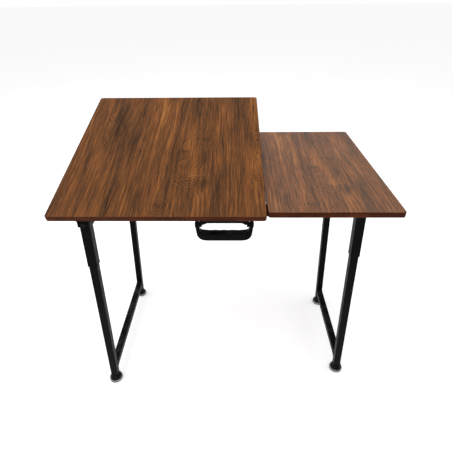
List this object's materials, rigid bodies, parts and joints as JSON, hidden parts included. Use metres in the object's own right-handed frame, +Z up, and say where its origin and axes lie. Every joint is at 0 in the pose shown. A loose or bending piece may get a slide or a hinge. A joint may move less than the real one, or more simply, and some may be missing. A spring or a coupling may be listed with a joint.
{
  "type": "sewing table",
  "caption": "Portable sewing table: a level board beside a tilting board on a tube frame with folding telescopic legs, levelling feet and a carry handle.",
  "frame": {"origin": "on the floor, under the centre of the table's outer box", "axes": "+Z up, +X to the right board, +Y from the handle side to the back"},
  "size_m": [0.9, 0.6042, 0.8948],
  "materials": {
    "laminate": "walnut-look laminate on particle board, satin",
    "edging": "dark brown plastic edge band, satin",
    "black_steel": "black powder coat, satin",
    "zinc_steel": "zinc plated",
    "chrome": "dark chrome",
    "black_plastic": "moulded, fine texture",
    "rubber": "matt"
  },
  "bodies": {
    "table_frame": {"right_board": "laminate", "right_edge_band": "edging", "front_rail": "black_steel", "right_rail": "black_steel", "rear_rail": "black_steel", "left_rail": "black_steel", "left_hinge_rail_leaf": "zinc_steel", "left_hinge_pin": "zinc_steel", "right_hinge_rail_leaf": "zinc_steel", "right_hinge_pin": "zinc_steel", "left_tilt_rack": "zinc_steel", "right_tilt_rack": "zinc_steel", "handle_plate": "black_plastic", "left_front_leg_bracket": "black_steel", "left_front_pivot_pin": "zinc_steel", "left_rear_leg_bracket": "black_steel", "left_rear_pivot_pin": "zinc_steel", "right_front_leg_bracket": "black_steel", "right_front_pivot_pin": "zinc_steel", "right_rear_leg_bracket": "black_steel", "right_rear_pivot_pin": "zinc_steel"},
    "tilting_board": {"left_board": "laminate", "left_edge_band": "edging", "left_hinge_board_leaf": "zinc_steel", "right_hinge_board_leaf": "zinc_steel", "left_prop_bracket": "zinc_steel", "right_prop_bracket": "zinc_steel"},
    "left_prop": {"left_prop_arm": "zinc_steel"},
    "right_prop": {"right_prop_arm": "zinc_steel"},
    "carry_handle": {"handle_bail": "black_plastic"},
    "left_upper_frame": {"left_top_bar": "black_steel", "left_front_upper_leg": "black_steel", "left_front_collar": "black_plastic", "left_rear_upper_leg": "black_steel", "left_rear_collar": "black_plastic"},
    "left_lower_frame": {"left_crossbar": "black_steel", "left_front_lower_leg": "black_steel", "left_rear_lower_leg": "black_steel"},
    "left_front_clamp": {"left_front_clamp_screw": "black_plastic"},
    "left_front_foot": {"left_front_foot_dome": "chrome", "left_front_foot_pad": "rubber"},
    "left_rear_clamp": {"left_rear_clamp_screw": "black_plastic"},
    "left_rear_foot": {"left_rear_foot_dome": "chrome", "left_rear_foot_pad": "rubber"},
    "right_upper_frame": {"right_top_bar": "black_steel", "right_front_upper_leg": "black_steel", "right_front_collar": "black_plastic", "right_rear_upper_leg": "black_steel", "right_rear_collar": "black_plastic"},
    "right_lower_frame": {"right_crossbar": "black_steel", "right_front_lower_leg": "black_steel", "right_rear_lower_leg": "black_steel"},
    "right_front_clamp": {"right_front_clamp_screw": "black_plastic"},
    "right_front_foot": {"right_front_foot_dome": "chrome", "right_front_foot_pad": "rubber"},
    "right_rear_clamp": {"right_rear_clamp_screw": "black_plastic"},
    "right_rear_foot": {"right_rear_foot_dome": "chrome", "right_rear_foot_pad": "rubber"}
  },
  "joints": [
    {"name": "tilt_top", "type": "hinge", "parent": "table_frame", "child": "tilting_board", "pos_m": [0, -0.25793, 0.738], "axis": [1, 0, 0], "range_deg": [-14, 14]},
    {"name": "left_prop_fold", "type": "hinge", "parent": "tilting_board", "child": "left_prop", "pos_m": [-0.3892, -0.06387, 0.78638], "axis": [1, 0, 0], "range_deg": [-28, 28]},
    {"name": "right_prop_fold", "type": "hinge", "parent": "tilting_board", "child": "right_prop", "pos_m": [0.101, -0.06387, 0.78638], "axis": [1, 0, 0], "range_deg": [-28, 28]},
    {"name": "left_leg_fold", "type": "hinge", "parent": "table_frame", "child": "left_upper_frame", "pos_m": [-0.3822, 0.00207, 0.688], "axis": [0, -1, 0], "range_deg": [0, 92.6]},
    {"name": "left_height_slide", "type": "slide", "parent": "left_upper_frame", "child": "left_lower_frame", "axis": [0.0454, 0, 0.999], "range_m": [0, 0.08]},
    {"name": "left_front_clamp_turn", "type": "hinge", "parent": "left_upper_frame", "child": "left_front_clamp", "pos_m": [-0.3876, -0.22543, 0.56898], "axis": [0, 1, 0], "range_deg": [0, 540]},
    {"name": "left_front_foot_turn", "type": "hinge", "parent": "left_lower_frame", "child": "left_front_foot", "pos_m": [-0.41247, -0.22543, 0], "axis": [0, 0, 1], "continuous": true},
    {"name": "left_rear_clamp_turn", "type": "hinge", "parent": "left_upper_frame", "child": "left_rear_clamp", "pos_m": [-0.3876, 0.22957, 0.56898], "axis": [0, 1, 0], "range_deg": [0, 540]},
    {"name": "left_rear_foot_turn", "type": "hinge", "parent": "left_lower_frame", "child": "left_rear_foot", "pos_m": [-0.41247, 0.22957, 0], "axis": [0, 0, 1], "continuous": true},
    {"name": "right_leg_fold", "type": "hinge", "parent": "table_frame", "child": "right_upper_frame", "pos_m": [0.3822, 0.00207, 0.718], "axis": [0, 1, 0], "range_deg": [0, 92.6]},
    {"name": "right_height_slide", "type": "slide", "parent": "right_upper_frame", "child": "right_lower_frame", "axis": [-0.0454, 0, 0.999], "range_m": [0, 0.08]},
    {"name": "right_front_clamp_turn", "type": "hinge", "parent": "right_upper_frame", "child": "right_front_clamp", "pos_m": [0.38897, -0.17543, 0.56898], "axis": [0, 1, 0], "range_deg": [0, 540]},
    {"name": "right_front_foot_turn", "type": "hinge", "parent": "right_lower_frame", "child": "right_front_foot", "pos_m": [0.41384, -0.17543, 0], "axis": [0, 0, 1], "continuous": true},
    {"name": "right_rear_clamp_turn", "type": "hinge", "parent": "right_upper_frame", "child": "right_rear_clamp", "pos_m": [0.38897, 0.17957, 0.56898], "axis": [0, 1, 0], "range_deg": [0, 540]},
    {"name": "right_rear_foot_turn", "type": "hinge", "parent": "right_lower_frame", "child": "right_rear_foot", "pos_m": [0.41384, 0.17957, 0], "axis": [0, 0, 1], "continuous": true},
    {"name": "handle_swing", "type": "hinge", "parent": "table_frame", "child": "carry_handle", "pos_m": [0, -0.26273, 0.7037], "axis": [-1, 0, 0], "range_deg": [0, 90]}
  ],
  "couplings": [
    {"joint": "left_prop_fold", "follows": "tilt_top", "ratio": -2},
    {"joint": "right_prop_fold", "follows": "tilt_top", "ratio": -2}
  ]
}
